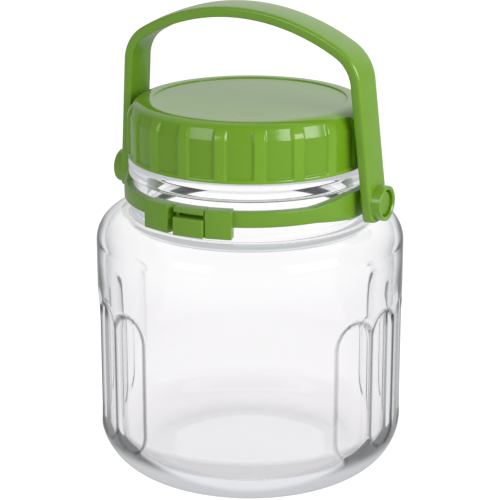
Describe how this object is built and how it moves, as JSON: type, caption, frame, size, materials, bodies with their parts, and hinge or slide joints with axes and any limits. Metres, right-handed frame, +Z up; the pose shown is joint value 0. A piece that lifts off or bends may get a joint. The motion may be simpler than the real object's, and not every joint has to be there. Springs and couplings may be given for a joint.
{
  "type": "glass storage jar",
  "caption": "Clear glass storage jar with a green screw lid, a clasped neck strap and a swinging carry handle.",
  "frame": {"origin": "centre of the base, on the surface the jar stands on", "axes": "+Z up along the jar's axis, +X along the handle's pivot axis, -Y towards the strap's clasp"},
  "size_m": [0.139, 0.139, 0.2139],
  "materials": {
    "clear_glass": "clear pressed glass",
    "green_lid": "glossy moulded polypropylene",
    "green_strap": "semi-gloss moulded polypropylene",
    "green_handle": "semi-gloss moulded polypropylene"
  },
  "bodies": {
    "jar": {"glass_jar": "clear_glass", "lid": "green_lid", "strap": "green_strap"},
    "handle": {"handle": "green_handle"}
  },
  "joints": [
    {"name": "handle_swing", "type": "hinge", "parent": "jar", "child": "handle", "pos_m": [0, 0, 0.1315], "axis": [1, 0, 0], "range_deg": [-93, 87]}
  ]
}
